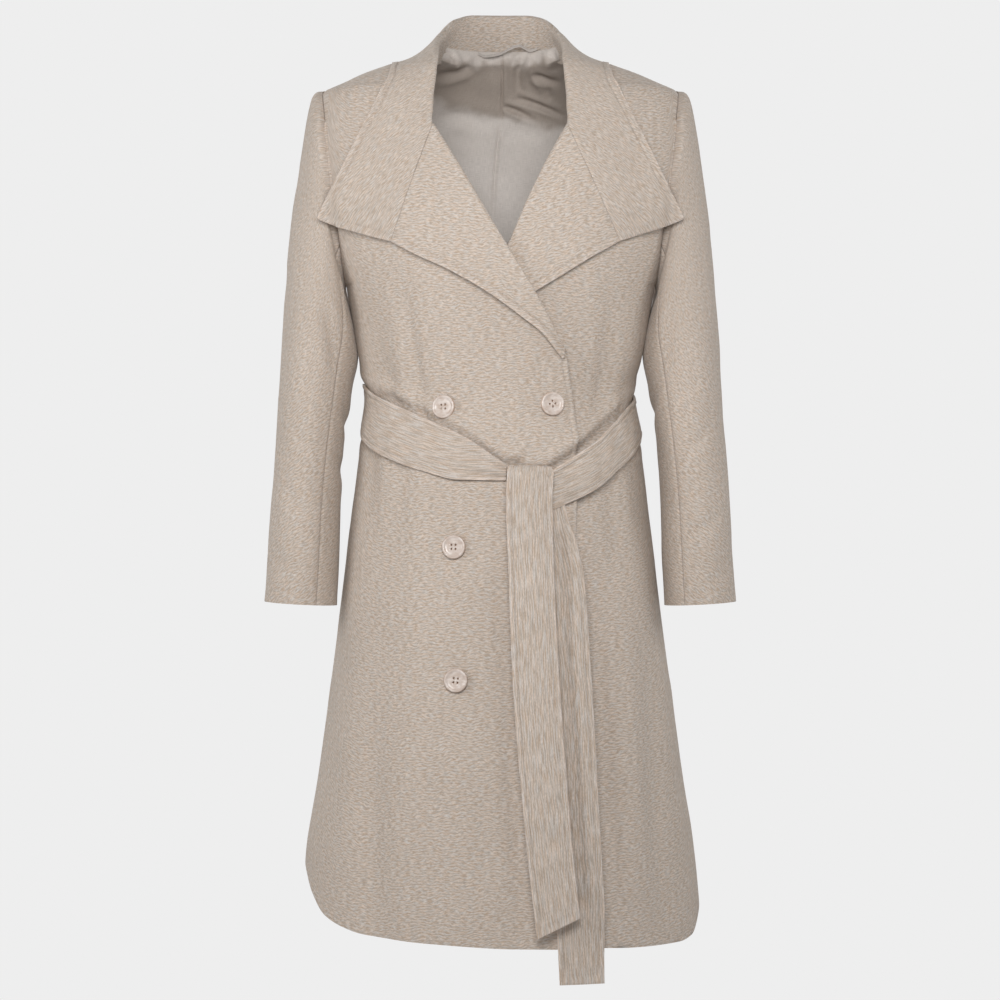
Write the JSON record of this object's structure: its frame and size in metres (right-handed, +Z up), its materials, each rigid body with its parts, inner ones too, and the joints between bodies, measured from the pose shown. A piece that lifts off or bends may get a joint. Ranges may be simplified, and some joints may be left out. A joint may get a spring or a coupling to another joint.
{
  "type": "belted overcoat",
  "caption": "Oatmeal wool double-breasted overcoat with wide pointed collar, tied belt with hanging ends, pearly four-hole buttons and satin back lining, hollow as if worn",
  "frame": {"origin": "the middle of the neck at shoulder height, where the coat is held", "axes": "+Z up from hem to collar, the front faces -Y, +X is the wearer's left side"},
  "size_m": [0.5518, 0.3638, 1.1301],
  "materials": {
    "wool_cloth": "matt brushed wool with light and tan flecks",
    "lining_satin": "satin",
    "loop_tape": "satin",
    "button_pearl": "polished"
  },
  "bodies": {
    "root": {"back": "wool_cloth", "front_right": "wool_cloth", "front_left": "wool_cloth", "lapel_right": "wool_cloth", "lapel_left": "wool_cloth", "collar": "wool_cloth", "sleeve_top_right": "wool_cloth", "sleeve_under_right": "wool_cloth", "sleeve_top_left": "wool_cloth", "sleeve_under_left": "wool_cloth", "belt_round_waist": "wool_cloth", "belt_front_tail": "wool_cloth", "belt_under_tail": "wool_cloth", "lining_back": "lining_satin", "hanger_loop": "loop_tape", "button_upper_right": "button_pearl", "button_upper_left": "button_pearl", "button_middle": "button_pearl", "button_lower": "button_pearl"}
  },
  "joints": []
}
